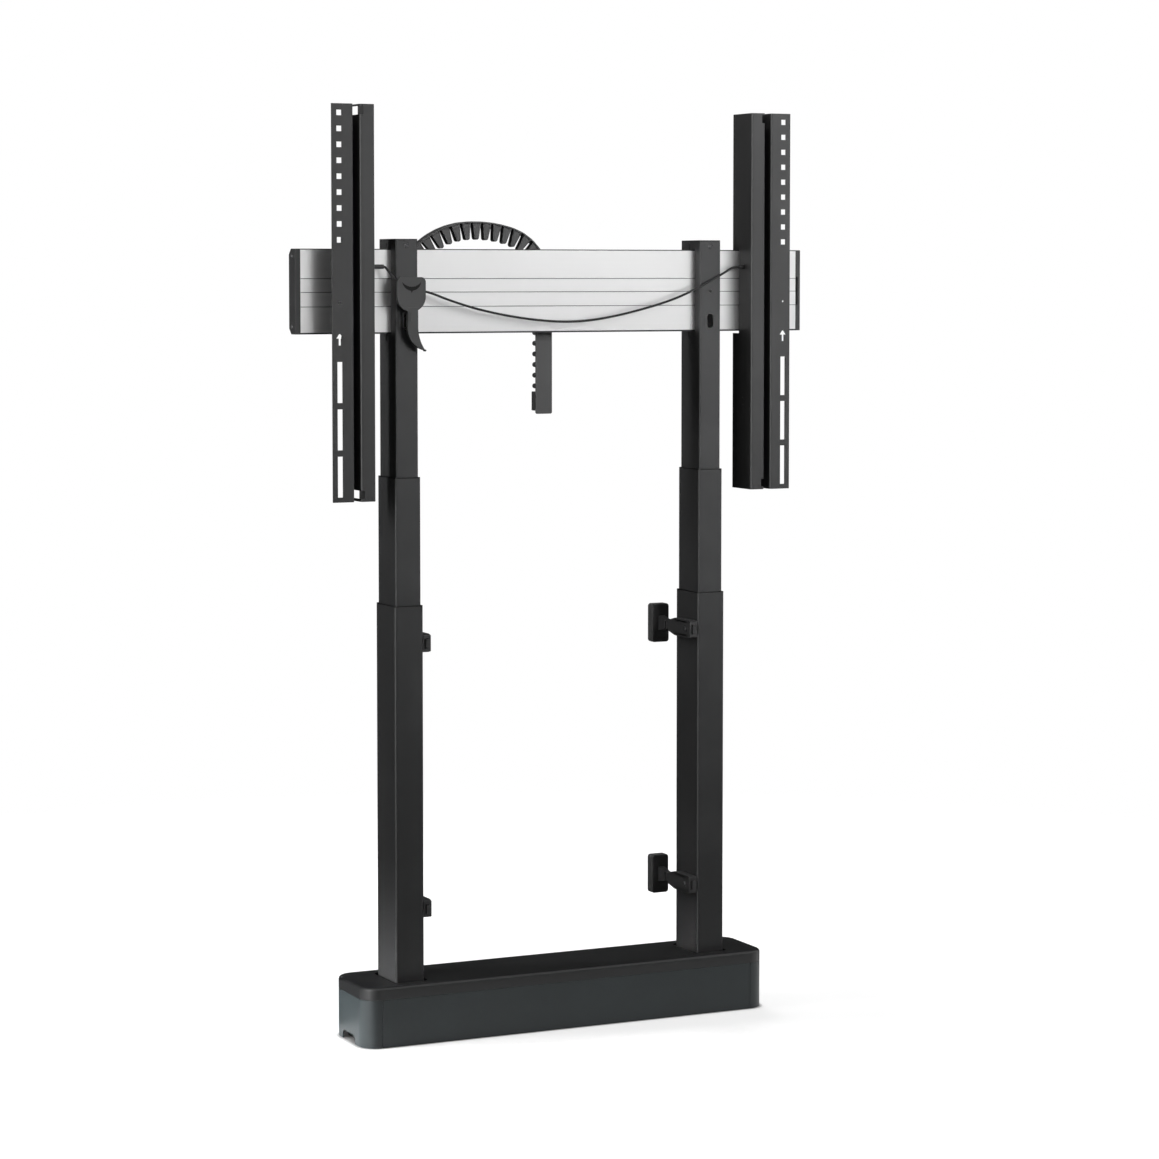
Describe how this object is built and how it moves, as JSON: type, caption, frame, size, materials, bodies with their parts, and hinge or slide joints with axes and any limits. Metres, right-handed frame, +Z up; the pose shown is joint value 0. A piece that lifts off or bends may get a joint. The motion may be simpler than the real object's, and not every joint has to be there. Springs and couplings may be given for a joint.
{
  "type": "TV lift mechanism",
  "caption": "Free-standing lift for a large display: a floor base, telescopic columns, a crossbar with hook-on display strips, a release pull, a cable chain and wall brackets.",
  "frame": {"origin": "under the middle of the base, on the floor", "axes": "+X along the crossbar to the right as seen from the display's side, -Y towards the display, +Z up"},
  "size_m": [0.9176, 0.17, 1.511],
  "materials": {
    "column_black": "satin black powder coat on steel tube",
    "strip_black": "matt black powder coat on folded sheet",
    "beam_black": "black coated extrusion",
    "fascia_silver": "satin anodised aluminium with fine grooves",
    "base_graphite": "moulded graphite plastic with a fine texture",
    "lid_black": "moulded black plastic with a satin top",
    "plastic_black": "moulded black plastic",
    "handle_black": "moulded dark grey plastic",
    "chain_black": "moulded nylon",
    "glide_black": "black acetal",
    "nut_pale": "natural acetal",
    "spindle_steel": "turned steel",
    "cast_housing": "painted casting",
    "motor_can": "zinc-plated can",
    "board_green": "green circuit board",
    "steel_plate": "black coated steel plate",
    "screw_dark": "blackened steel",
    "cord_black": "black sheathed cord",
    "bracket_black": "moulded black nylon",
    "arm_dark": "black coated steel",
    "pad_black": "black rubber"
  },
  "bodies": {
    "base": {"base_floor_plate": "steel_plate", "base_front_panel": "base_graphite", "base_rear_panel": "base_graphite", "base_end_cap_left": "base_graphite", "base_end_cap_right": "base_graphite", "base_lid": "lid_black", "column_sockets": "steel_plate", "gearboxes": "cast_housing", "motors": "motor_can", "control_box": "plastic_black", "control_board": "board_green", "motor_leads": "cord_black", "outer_tube_left": "column_black", "outer_tube_right": "column_black", "outer_glides": "glide_black", "wall_clamp_housings": "bracket_black", "clamp_screws": "screw_dark"},
    "left_middle": {"middle_tube_left": "column_black", "middle_glides_left": "glide_black", "lower_nut_left": "nut_pale"},
    "right_middle": {"middle_tube_right": "column_black", "middle_glides_right": "glide_black", "lower_nut_right": "nut_pale"},
    "carriage": {"inner_tube_left": "column_black", "inner_tube_right": "column_black", "inner_nuts": "nut_pale", "inner_glides": "glide_black", "tube_caps": "plastic_black", "crossbar_beam": "beam_black", "crossbar_fascia": "fascia_silver", "bar_end_cap_left": "plastic_black", "bar_end_cap_right": "plastic_black", "bar_clamps": "steel_plate", "carriage_screws": "screw_dark", "display_strip_left": "strip_black", "display_strip_right": "strip_black", "strip_keepers": "steel_plate", "latch_sleeves": "plastic_black", "handle_guide": "plastic_black", "cord_left": "cord_black", "cord_right": "cord_black", "chain_arch": "chain_black", "chain_drop": "chain_black", "chain_guide_plate": "chain_black", "chain_anchor": "steel_plate"},
    "left_spindle": {"lower_spindle_left": "spindle_steel"},
    "right_spindle": {"lower_spindle_right": "spindle_steel"},
    "left_screw_tube": {"upper_spindle_left": "spindle_steel"},
    "right_screw_tube": {"upper_spindle_right": "spindle_steel"},
    "handle": {"pull_handle": "handle_black"},
    "latch_left": {"latch_bolt_left": "spindle_steel"},
    "latch_right": {"latch_bolt_right": "spindle_steel"},
    "arm_upper_left": {"wall_arm_upper_left": "arm_dark", "wall_pad_upper_left": "pad_black"},
    "arm_upper_right": {"wall_arm_upper_right": "arm_dark", "wall_pad_upper_right": "pad_black"},
    "arm_lower_left": {"wall_arm_lower_left": "arm_dark", "wall_pad_lower_left": "pad_black"},
    "arm_lower_right": {"wall_arm_lower_right": "arm_dark", "wall_pad_lower_right": "pad_black"}
  },
  "joints": [
    {"name": "left_lift", "type": "slide", "parent": "base", "child": "left_middle", "axis": [0, 0, 1], "range_m": [-0.195, 0.13]},
    {"name": "right_lift", "type": "slide", "parent": "base", "child": "right_middle", "axis": [0, 0, 1], "range_m": [-0.195, 0.13]},
    {"name": "carriage_lift", "type": "slide", "parent": "left_middle", "child": "carriage", "axis": [0, 0, 1], "range_m": [-0.195, 0.13]},
    {"name": "left_spindle_turn", "type": "hinge", "parent": "base", "child": "left_spindle", "pos_m": [-0.275, 0, 0.2], "axis": [0, 0, 1], "range_deg": [-5860, 3910]},
    {"name": "right_spindle_turn", "type": "hinge", "parent": "base", "child": "right_spindle", "pos_m": [0.275, 0, 0.2], "axis": [0, 0, 1], "range_deg": [-5860, 3910]},
    {"name": "left_screw_tube_turn", "type": "hinge", "parent": "left_middle", "child": "left_screw_tube", "pos_m": [-0.275, 0, 0.4], "axis": [0, 0, 1], "range_deg": [-5860, 3910]},
    {"name": "right_screw_tube_turn", "type": "hinge", "parent": "right_middle", "child": "right_screw_tube", "pos_m": [0.275, 0, 0.4], "axis": [0, 0, 1], "range_deg": [-5860, 3910]},
    {"name": "handle_pull", "type": "slide", "parent": "carriage", "child": "handle", "axis": [0, 0, -1], "range_m": [0, 0.012], "stiffness_N_per_m": 400, "springref_m": -0.006},
    {"name": "latch_left_slide", "type": "slide", "parent": "carriage", "child": "latch_left", "axis": [1, 0, 0], "range_m": [0, 0.008]},
    {"name": "latch_right_slide", "type": "slide", "parent": "carriage", "child": "latch_right", "axis": [-1, 0, 0], "range_m": [0, 0.008]},
    {"name": "arm_upper_left_slide", "type": "slide", "parent": "base", "child": "arm_upper_left", "axis": [0, 1, 0], "range_m": [-0.01, 0.01]},
    {"name": "arm_upper_right_slide", "type": "slide", "parent": "base", "child": "arm_upper_right", "axis": [0, 1, 0], "range_m": [-0.01, 0.01]},
    {"name": "arm_lower_left_slide", "type": "slide", "parent": "base", "child": "arm_lower_left", "axis": [0, 1, 0], "range_m": [-0.01, 0.01]},
    {"name": "arm_lower_right_slide", "type": "slide", "parent": "base", "child": "arm_lower_right", "axis": [0, 1, 0], "range_m": [-0.01, 0.01]}
  ],
  "couplings": [
    {"joint": "right_lift", "follows": "left_lift", "ratio": 1},
    {"joint": "carriage_lift", "follows": "left_lift", "ratio": 1},
    {"joint": "left_spindle_turn", "follows": "left_lift", "rad_per_m": 523.6},
    {"joint": "right_spindle_turn", "follows": "left_lift", "rad_per_m": 523.6},
    {"joint": "left_screw_tube_turn", "follows": "left_lift", "rad_per_m": 523.6},
    {"joint": "right_screw_tube_turn", "follows": "left_lift", "rad_per_m": 523.6},
    {"joint": "latch_left_slide", "follows": "handle_pull", "ratio": 0.666},
    {"joint": "latch_right_slide", "follows": "handle_pull", "ratio": 0.666}
  ]
}
